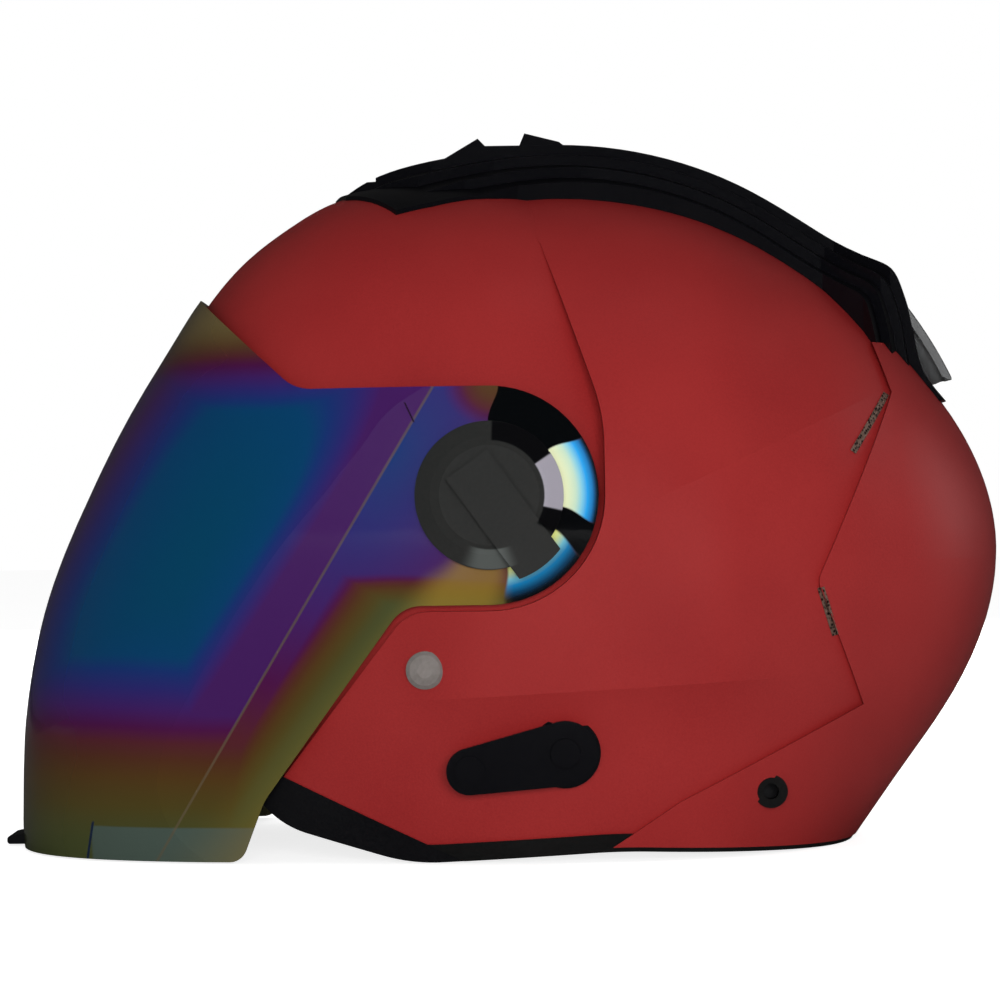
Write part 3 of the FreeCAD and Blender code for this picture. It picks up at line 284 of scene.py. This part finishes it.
lampPattern = {
    # painted lamp reflections: arcs in degrees round the pivot where the lamps' reflections are painted,
    # and the radii they fill
    "pivot": (-0.0027, 0.1201),
    "upperDark": (34.0, 88.0),
    "bright": (-13.0, 34.0),
    "lowerDark": (-32.0, -13.0),
    "lowerBright": (-80.0, -32.0),
    "coverReflection": (-108.0, -74.0),
    "yellowReflection": (-122.0, -83.0),
    "ringStart": 0.0236,
    "ringEnd": 0.0350,
    "coverRim": (0.0176, 0.0240),
    "arcLean": 6.0,
}


def coverMaterial():
    # the domed rim of the pivot cover gets the same painted lamp reflections as the visor behind it
    material = grained("coverPlastic", linear(36, 37, 36), linear(43, 43, 42), 800, (0.3, 0.36), 0.000008,
                       Specular_IOR_Level=0.25)
    colour = shaderOf(material).inputs["Base Color"].links[0].from_socket
    x, z = sideView(material)
    radius, angle = polar(material, x, z, lampPattern["pivot"])
    rim = within(material, radius, *lampPattern["coverRim"], 0.0003)
    darkReflectionArcs = larger(material, within(material, angle, *lampPattern["upperDark"], 1.5),
                      within(material, angle, *lampPattern["lowerDark"], 1.5))
    # painted reflections on the rim: a pale arc, dark arcs and a grey patch
    for arc, tint in (
            (within(material, angle, *lampPattern["bright"], 1.0), linear(150, 146, 156)),
            (darkReflectionArcs, linear(8, 8, 10)),
            (within(material, angle, *lampPattern["coverReflection"], 8.0), linear(78, 82, 80))):
        colour = mixed(material, times(material, rim, arc), colour, tint)
    setShader(material, Base_Color=colour)
    return material


coverPlastic = coverMaterial()


def clothMaterial(name, dark, light):
    material = newMaterial(name, Sheen_Weight=0.25, Sheen_Roughness=0.5)
    fine = noise(material, 2600, 2, 0.7)
    broad = noise(material, 60, 3)
    setShader(
        material,
        Base_Color=ramp(material, times(material, fine, broad), [(0.12, dark), (0.4, light)]),
        Roughness=spread(material, broad, 0.85, 0.95),
        Normal=bump(material, fine, 0.0004))
    return material


def webbingMaterial():
    # a twill of fine diagonal ribs, as on woven polyester tape
    material = newMaterial("webbing", Sheen_Weight=0.2, Sheen_Roughness=0.4)
    ribs = addNode(material, "ShaderNodeTexWave", bands_direction="DIAGONAL")
    ribs.inputs["Scale"].default_value = 260
    ribs.inputs["Distortion"].default_value = 0.6
    join(material, objectPoint(material), ribs.inputs["Vector"])
    weave = ribs.outputs["Fac"]
    setShader(
        material,
        Base_Color=ramp(material, weave, [(0.2, (0.005, 0.005, 0.005)), (0.8, (0.022, 0.022, 0.023))]),
        Roughness=spread(material, noise(material, 90, 2), 0.75, 0.9),
        Normal=bump(material, weave, 0.0003))
    return material


liningCloth = clothMaterial("liningCloth", (0.006, 0.006, 0.007), (0.025, 0.025, 0.027))
webbing = webbingMaterial()

visorTintAndReflections = {
    # the coating's colours, with the reflections seen on it painted in, run from 0, teal, to 1, grey
    # green; places are x and z in metres
    "wander": 0.0022,
    "bandMiddle": (-0.099, 0.102),     # the teal patch on the front
    "bandTop": (-0.067, 0.150),
    "bandLength": 0.058,
    "bandFront": 0.026,
    "bandBack": 0.0165,
    "bandStep": 0.2,
    "bandLimit": 0.46,
    "crease": ((-0.0980, 0.0280), (-0.0210, 0.1550)),
    "creaseTop": 0.158,
    "armMiddle": (-0.030, 0.130),      # the blue patch between the crease and the pivot
    "armLength": 0.050,
    "armWidth": 0.027,
    "armStart": 0.25,
    "armStep": 0.17,
    "jaw": ((-0.0780, 0.0220), (-0.0340, 0.0830)),
    "armFoot": 0.083,
    "footSlope": 1.7,
    "rimSlope": 0.38,
    "lowerMargin": (0.001, 0.037, 0.93, 0.0),
    "upperMargin": (0.132, 0.190, 0.0, 0.90),
    "corner": (-0.002, 0.156),
    "cornerMargin": (0.001, 0.030, 0.74, 0.0),
    "browPale": (0.166, 0.184),
    "footClear": (0.0125, 0.0117),
    "footClearEnd": (-0.1375, -0.1365),
    "footLine": ((-0.1395, -0.002), (-0.1365, 0.0125)),
    "footLineTop": (0.0140, 0.0130),
    "nick": ((-0.0270, 0.1440), (-0.0300, 0.1505)),
    "lineHalf": 0.0004,
    "nickHalf": 0.0003,
    "lineSoft": 0.0002,
}
# the coating's own colours together with its painted reflections
coatAndReflectionColours = [
    (0.0, linear(0, 64, 96)), (0.20, linear(2, 62, 104)), (0.26, linear(20, 48, 110)),
    (0.34, linear(40, 38, 108)), (0.44, linear(62, 28, 96)), (0.53, linear(74, 16, 68)),
    (0.60, linear(82, 32, 42)), (0.68, linear(80, 44, 28)), (0.76, linear(80, 56, 24)),
    (0.86, linear(76, 66, 28)), (0.93, linear(68, 74, 40)), (1.0, linear(64, 80, 54))]
paleRing = [
    (0.0, linear(226, 232, 186)), (0.3, linear(196, 222, 196)), (0.55, linear(132, 202, 222)),
    (0.78, linear(28, 160, 232)), (0.93, linear(20, 120, 190)), (1.0, linear(8, 20, 30))]
deepRing = [
    (0.0, linear(226, 230, 130)), (0.35, linear(110, 186, 206)), (0.62, linear(8, 120, 176)),
    (0.9, linear(4, 60, 96)), (1.0, linear(4, 8, 14))]


def squareTo(middle, other):
    # a second point for the line through the middle at right angles to the one towards the other
    return middle[0] + (other[1] - middle[1]), middle[1] - (other[0] - middle[0])


def frontField(material, x, z):
    # a leaning rounded patch, longer towards the nose
    middle, top = visorTintAndReflections["bandMiddle"], visorTintAndReflections["bandTop"]
    back = lineDistance(material, x, z, middle, top)
    wide = step(material, back, -0.001, 0.001, visorTintAndReflections["bandFront"], visorTintAndReflections["bandBack"])
    across = calc(material, "DIVIDE", back, wide)
    along = lineDistance(material, x, z, middle, squareTo(middle, top))
    along = calc(material, "DIVIDE", along, visorTintAndReflections["bandLength"])
    cubes = [calc(material, "POWER", calc(material, "ABSOLUTE", part), 3.0) for part in (across, along)]
    band = calc(material, "POWER", plus(material, *cubes), 1 / 3)
    band = times(material, calc(material, "POWER", band, 1.6), visorTintAndReflections["bandStep"])
    return smaller(material, band, visorTintAndReflections["bandLimit"])


def rearField(material, x, z):
    # blue round the arm
    low, high = visorTintAndReflections["crease"]
    arm = visorTintAndReflections["armMiddle"]
    level = (arm[0] + (high[1] - low[1]), arm[1] - (high[0] - low[0]))
    along = calc(material, "DIVIDE", lineDistance(material, x, z, arm, level), visorTintAndReflections["armLength"])
    across = calc(material, "DIVIDE", lineDistance(material, x, z, low, high), visorTintAndReflections["armWidth"])
    reach = lengthOf(material, along, across)
    return calc(material, "MULTIPLY_ADD", reach, visorTintAndReflections["armStep"], visorTintAndReflections["armStart"])


def marginField(material, x, z):
    # olive and green along the lower rim and the jaw, at the top and by the pivot
    jaw = times(material, lineDistance(material, x, z, *visorTintAndReflections["jaw"]), -1.0)
    foot = times(material, minus(material, z, visorTintAndReflections["armFoot"]), visorTintAndReflections["footSlope"])
    rim = smaller(material, larger(material, jaw, foot), times(material, z, visorTintAndReflections["rimSlope"]))
    lower = step(material, rim, *visorTintAndReflections["lowerMargin"])
    upper = step(material, z, *visorTintAndReflections["upperMargin"])
    fromCorner = polar(material, x, z, visorTintAndReflections["corner"])[0]
    return larger(material, lower, upper, step(material, fromCorner, *visorTintAndReflections["cornerMargin"]))


def mouldedLines(material, x, z, crease, colour):
    # the clear strip at the foot with the line at its end, the crease and a nick above the arm
    half, thin, soft = visorTintAndReflections["lineHalf"], visorTintAndReflections["nickHalf"], visorTintAndReflections["lineSoft"]
    strip = times(material, step(material, z, *visorTintAndReflections["footClear"]),
                  step(material, x, *visorTintAndReflections["footClearEnd"]))
    colour = mixed(material, strip, colour, linear(72, 86, 78))
    stripEnd = within(material, lineDistance(material, x, z, *visorTintAndReflections["footLine"]), -half, half, soft)
    stripEnd = times(material, stripEnd, step(material, z, *visorTintAndReflections["footLineTop"]))
    colour = mixed(material, stripEnd, colour, linear(20, 34, 60))
    line = times(material, within(material, crease, -half, half, soft),
                 within(material, z, -0.01, visorTintAndReflections["creaseTop"], 0.001))
    colour = mixed(material, times(material, line, 0.6), colour, linear(96, 84, 64))
    nickLow, nickHigh = visorTintAndReflections["nick"][0][1], visorTintAndReflections["nick"][1][1]
    nick = within(material, lineDistance(material, x, z, *visorTintAndReflections["nick"]), -thin, thin, soft)
    nick = times(material, nick, within(material, z, nickLow, nickHigh, 0.0003))
    return mixed(material, nick, colour, linear(36, 14, 48))


def paintedLampReflections(material, x, z, colour):
    # painted reflections of the lamps in the turned edge round the pivot, mixed into the base colour
    radius, angle = polar(material, x, z, lampPattern["pivot"])
    start = lampPattern["ringStart"]
    outward = step(material, radius, start, lampPattern["ringEnd"])
    onRing = step(material, radius, start - 0.0004, start)
    lean = lampPattern["arcLean"]
    angle = minus(material, angle, calc(material, "MULTIPLY_ADD", outward, -lean, lean / 2))
    for arc, tint, soft in (("upperDark", linear(1, 3, 5), 0.6), ("lowerDark", linear(1, 2, 4), 0.8),
                            ("bright", ramp(material, outward, paleRing), 0.8),
                            ("lowerBright", ramp(material, outward, deepRing), 1.2)):
        share = times(material, onRing, within(material, angle, *lampPattern[arc], soft))
        colour = mixed(material, share, colour, tint)
    # a painted yellow lamp reflection low on the ring
    yellowReflection = times(material, within(material, angle, *lampPattern["yellowReflection"], 9.0), onRing)
    return mixed(material, times(material, yellowReflection, 0.6), colour, linear(150, 122, 40))


def visorMaterial():
    material = newMaterial("rainbowVisor", Metallic=0.15, Roughness=0.22, Coat_Weight=0.6,
                           Coat_Roughness=0.03, Specular_IOR_Level=0.4)
    x, z = sideView(material, visorTintAndReflections["wander"])
    sharpX, sharpZ = sideView(material)
    crease = lineDistance(material, sharpX, sharpZ, *visorTintAndReflections["crease"])
    behind = step(material, crease, -0.0002, 0.0002)
    rear = times(material, rearField(material, x, z), behind)
    field = calc(material, "MULTIPLY_ADD", frontField(material, x, z), minus(material, 1.0, behind), rear)
    # these bands paint the coating's own colours and the reflections on it together
    colour = ramp(material, larger(material, field, marginField(material, x, z)), coatAndReflectionColours)
    colour = mixed(material, step(material, z, *visorTintAndReflections["browPale"]), colour, linear(116, 100, 62))
    colour = mouldedLines(material, sharpX, sharpZ, crease, colour)
    setShader(material, Base_Color=paintedLampReflections(material, sharpX, sharpZ, colour))
    return material


def clearPlastic(name, transmission, roughness, grain, dark, light):
    material = newMaterial(name, Roughness=roughness, Transmission_Weight=transmission, IOR=1.5)
    setShader(material, Base_Color=ramp(material, noise(material, grain, 2), [(0.3, dark), (0.7, light)]))
    return material


rainbowVisor = visorMaterial()
smokeLens = clearPlastic("smokeLens", 0.6, 0.05, 20, (0.03, 0.03, 0.034), (0.05, 0.05, 0.055))
smokyLip = clearPlastic("smokyLip", 0.5, 0.18, 40, linear(44, 46, 48), linear(58, 61, 63))

dress(redShell, "outer_shell")
dress(blackRubber, "face_edge_trim", "rim_edge_trim", "rim_grommets")
dress(blackPlastic, "lower_trim_left", "lower_trim_right", "visor_lift_tab", "front_vent_grille",
      "rear_vent_grille", "pivot_base_left", "pivot_base_right", "buckle_lever", "buckle_tongue",
      "crown_vent_slider")
dress(fairingPlastic, "crown_fairing")
dress(glossBlack, "sun_visor_lever", "sun_lever_cap", "sun_lever_base")
dress(smokyLip, "rear_exhaust_lip")
dress(coverPlastic, "pivot_cover_left", "pivot_cover_right", "release_lever_left", "release_lever_right")
dress(foamBlack, "eps_liner", "cheek_block_left", "cheek_block_right")
dress(zincSteel, "pivot_screws_left", "pivot_screws_right", "sun_visor_pins", "strap_hangers",
      "buckle_body", "buckle_pin")
dress(chromeSteel, "strap_rivets")
dress(liningCloth, "crown_liner", "neck_roll", "cheek_pad_left", "cheek_pad_right", "chin_pad")
dress(webbing, "chin_strap_left", "chin_strap_right")
dress(rainbowVisor, "visor")
dress(smokeLens, "sun_visor")
print("finishes ready")


cheekForm = {"shrink": 0.0012, "voxel": 0.0045, "cap": 0.0020, "fill": 0.7,
             "channels": ((0, -0.020), (0, 0.030), (2, 0.055))}
padForms = {
    # a channel is an axis number and its place on that axis
    "crown_liner": {"shrink": 0.0008, "voxel": 0.004, "cap": 0.0014, "fill": 0.45,
                    "channels": ((0, -0.045), (0, 0.0), (0, 0.045), (1, -0.032), (1, 0.032))},
    "neck_roll": {"shrink": 0.0012, "voxel": 0.0045, "cap": 0.0020, "fill": 0.6,
                  "channels": ((1, -0.045), (1, 0.045), (2, 0.022))},
    "cheek_pad_left": cheekForm,
    "cheek_pad_right": cheekForm,
    "chin_pad": {"shrink": 0.0008, "voxel": 0.004, "cap": 0.0013, "fill": 0.5, "channels": ()},
}
lastFrame = 20


def onlySelected(piece):
    bpy.ops.object.select_all(action="DESELECT")
    piece.select_set(True)
    bpy.context.view_layer.objects.active = piece


def padStart(name, form):
    # a slightly smaller copy of the solid, as one even skin ready to be blown up
    data = nodes[name].data.copy()
    build = bmesh.new()
    build.from_mesh(data)
    bmesh.ops.remove_doubles(build, verts=build.verts, dist=0.00002)
    bmesh.ops.recalc_face_normals(build, faces=build.faces)
    build.to_mesh(data)
    build.free()
    piece = bpy.data.objects.new(f"{name}_cushion", data)
    bpy.context.scene.collection.objects.link(piece)
    onlySelected(piece)
    skin = piece.modifiers.new("skin", "REMESH")
    skin.mode = "VOXEL"
    skin.voxel_size = form["voxel"]
    skin.use_smooth_shade = True
    bpy.ops.object.modifier_apply(modifier="skin")
    normals = [vertex.normal.copy() for vertex in piece.data.vertices]
    for vertex, normal in zip(piece.data.vertices, normals):
        vertex.co -= normal * form["shrink"]
    return piece


def blowUp(pads):
    starts = {name: [vertex.co.copy() for vertex in piece.data.vertices] for name, piece in pads.items()}
    for piece in pads.values():
        cover = piece.modifiers.new("cover", "CLOTH")
        cover.settings.use_pressure = True
        cover.settings.uniform_pressure_force = 4
        cover.settings.effector_weights.gravity = 0
        cover.point_cache.frame_start = 1
        cover.point_cache.frame_end = lastFrame
    for number in range(1, lastFrame + 1):
        bpy.context.scene.frame_set(number)
    for name, piece in pads.items():
        onlySelected(piece)
        bpy.ops.object.modifier_apply(modifier="cover")
        cap = padForms[name]["cap"]
        for vertex, start in zip(piece.data.vertices, starts[name]):
            move = vertex.co - start
            if move.length > cap:
                vertex.co = start + move * (cap / move.length)
    bpy.context.scene.frame_set(1)


def sewChannels(piece, channels, depth=0.0011, width=0.0035):
    # the cover is drawn in along each seam
    normals = [vertex.normal.copy() for vertex in piece.data.vertices]
    for vertex, normal in zip(piece.data.vertices, normals):
        nearest = min((abs(vertex.co[axis] - place) for axis, place in channels), default=width)
        if nearest < width:
            vertex.co -= normal * depth * (1 - (nearest / width) ** 2) ** 2


cushions = {name: padStart(name, form) for name, form in padForms.items()}
blowUp(cushions)
for name, piece in cushions.items():
    onlySelected(piece)
    fine = piece.modifiers.new("fine", "SUBSURF")
    fine.levels = 1
    fine.render_levels = 1
    bpy.ops.object.modifier_apply(modifier="fine")
    sewChannels(piece, padForms[name]["channels"])
    piece.data.materials.clear()
    piece.data.materials.append(liningCloth)
    for face in piece.data.polygons:
        face.use_smooth = True
    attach(piece, "helmet")
    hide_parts(name)
print("pads sewn:", len(cushions))


ventStrips = {
    "upper": ((0.1300, 0.1520), (0.1165, 0.1325)),     # ends in x and z
    "lower": ((0.1042, 0.0885), (0.1092, 0.0728)),
}
stripWidth = 0.0022
stripThick = 0.0006
outsideShell = 0.14


def wireGauze():
    # fine punched metal behind the slots of the rear panel
    material = newMaterial("wireGauze", Metallic=0.5)
    holes = addNode(material, "ShaderNodeTexVoronoi")
    holes.inputs["Scale"].default_value = 900
    join(material, objectPoint(material), holes.inputs["Vector"])
    distance = holes.outputs["Distance"]
    setShader(
        material,
        Base_Color=ramp(material, distance, [(0.25, linear(18, 12, 12)), (0.6, linear(128, 104, 92))]),
        Roughness=spread(material, distance, 0.3, 0.5),
        Normal=bump(material, distance, 0.0004))
    return material


def exhaustStrip(name, side, ends, material):
    # a narrow flat strip held outside the shell, laid onto it and given its thickness
    (topX, topZ), (lowX, lowZ) = ends
    bpy.ops.object.select_all(action="DESELECT")
    bpy.ops.mesh.primitive_grid_add(x_subdivisions=4, y_subdivisions=30, size=1)
    piece = bpy.context.object
    piece.name = name
    along = Vector((lowX - topX, 0, lowZ - topZ))
    across = Vector((-along.z, 0, along.x)).normalized() * stripWidth
    start = Vector(((topX + lowX) / 2, side * outsideShell, (topZ + lowZ) / 2))
    for vertex in piece.data.vertices:
        vertex.co = start + across * vertex.co.x + along * vertex.co.y
    wrap = piece.modifiers.new("wrap", "SHRINKWRAP")
    wrap.wrap_method = "PROJECT"
    wrap.use_project_y = True
    wrap.use_negative_direction = side > 0
    wrap.use_positive_direction = side < 0
    wrap.target = nodes["outer_shell"]
    onlySelected(piece)
    bpy.ops.object.modifier_apply(modifier="wrap")
    wall = piece.modifiers.new("wall", "SOLIDIFY")
    wall.thickness = stripThick
    wall.offset = 0
    bpy.ops.object.modifier_apply(modifier="wall")
    build = bmesh.new()
    build.from_mesh(piece.data)
    bmesh.ops.recalc_face_normals(build, faces=build.faces)
    build.to_mesh(piece.data)
    build.free()
    piece.data.materials.append(material)
    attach(piece, "helmet")


gauze = wireGauze()
for sideName, side in (("left", -1), ("right", 1)):
    for part, ends in ventStrips.items():
        exhaustStrip(f"exhaust_strip_{part}_{sideName}", side, ends, gauze)
print("exhaust strips laid")


studio = {
    "floorSize": 12.0,
    "floorGlow": 0.8,
    "mirrorGrey": 0.03,
    "diffuseGrey": 0.20,
    "aim": (0, 0, 0.12),
}
lamps = {
    # place, size, power, and whether glossy pieces mirror the lamp itself
    "frontLight": ((0.2, -2.35, 0.3), (1.2, 0.8), 46.0, False),
    "lowLight": ((-0.5, -2.1, 0.12), (1.2, 0.4), 7.0, False),
    "topStrip": ((0.5, -0.5, 1.6), (0.9, 0.2), 2.0, False),
    "backLight": ((0.2, 2.1, 0.8), (1.4, 0.9), 38.0, False),
    "sideLight": ((-2.2, 0.7, 0.5), (0.8, 1.0), 6.0, False),
    "rearLight": ((2.0, 0.6, 0.6), (0.8, 1.0), 3.0, True),
}
view = {
    "eye": (0.0005, -1.4, 0.1184),
    "lens": 142.8,
    "roll": -0.83,
}


def rayShare(tree, *kinds):
    # 1 for the kinds of ray that are named, otherwise 0
    path = tree.nodes.new("ShaderNodeLightPath")
    total = path.outputs[kinds[0]]
    for kind in kinds[1:]:
        both = tree.nodes.new("ShaderNodeMath")
        both.operation = "MAXIMUM"
        tree.links.new(total, both.inputs[0])
        tree.links.new(path.outputs[kind], both.inputs[1])
        total = both.outputs[0]
    return total


def floorMaterial():
    material = newMaterial("paleSweep", Roughness=0.9, Specular_IOR_Level=0.1, Emission_Color=(1, 1, 1, 1))
    tone = ramp(material, noise(material, 3, 2), [(0.3, (0.85, 0.85, 0.85)), (0.7, (0.87, 0.87, 0.87))])
    mirrored = rayShare(material.node_tree, "Is Glossy Ray")
    seen = rayShare(material.node_tree, "Is Camera Ray", "Is Transmission Ray")
    setShader(
        material,
        Base_Color=mixed(material, mirrored, tone, (0.06, 0.06, 0.06)),
        Emission_Strength=times(material, seen, studio["floorGlow"]))
    return material


def makeFloor():
    bpy.ops.object.select_all(action="DESELECT")
    bpy.ops.mesh.primitive_plane_add(size=studio["floorSize"], location=(0, 0, 0))
    floor = bpy.context.object
    floor.name = "studioFloor"
    floor.data.materials.append(floorMaterial())


def makeLight(name, place, size, power, mirrored):
    data = bpy.data.lights.new(name, "AREA")
    data.shape = "RECTANGLE"
    data.size, data.size_y = size
    data.energy = power
    lamp = bpy.data.objects.new(name, data)
    bpy.context.scene.collection.objects.link(lamp)
    lamp.location = place
    lamp.rotation_euler = (Vector(studio["aim"]) - Vector(place)).to_track_quat("-Z", "Y").to_euler()
    lamp.visible_glossy = mirrored


def makeWorld():
    # white where it is looked at, dim in reflections and as fill light
    world = bpy.data.worlds.new("studioWorld")
    bpy.context.scene.world = world
    world.use_nodes = True
    tree = world.node_tree
    dim = tree.nodes.new("ShaderNodeMapRange")
    dim.inputs["To Min"].default_value = studio["diffuseGrey"]
    dim.inputs["To Max"].default_value = studio["mirrorGrey"]
    tree.links.new(rayShare(tree, "Is Glossy Ray"), dim.inputs["Value"])
    bright = tree.nodes.new("ShaderNodeMath")
    bright.operation = "MAXIMUM"
    tree.links.new(dim.outputs["Result"], bright.inputs[0])
    tree.links.new(rayShare(tree, "Is Camera Ray", "Is Transmission Ray"), bright.inputs[1])
    background = tree.nodes["Background"]
    tree.links.new(bright.outputs[0], background.inputs["Strength"])
    background.inputs["Color"].default_value = (1, 1, 1, 1)


def makeCamera():
    data = bpy.data.cameras.new("mainCamera")
    data.lens = view["lens"]
    data.sensor_width = 36
    data.clip_end = 60
    camera = bpy.data.objects.new("mainCamera", data)
    bpy.context.scene.collection.objects.link(camera)
    upright = Matrix.Translation(view["eye"]) @ Matrix.Rotation(math.radians(90), 4, "X")
    camera.matrix_world = upright @ Matrix.Rotation(math.radians(view["roll"]), 4, "Z")
    bpy.context.scene.camera = camera


makeFloor()
for name, (place, size, power, mirrored) in lamps.items():
    makeLight(name, place, size, power, mirrored)
makeWorld()
makeCamera()
bpy.context.scene.view_settings.view_transform = "Standard"
print("studio ready")
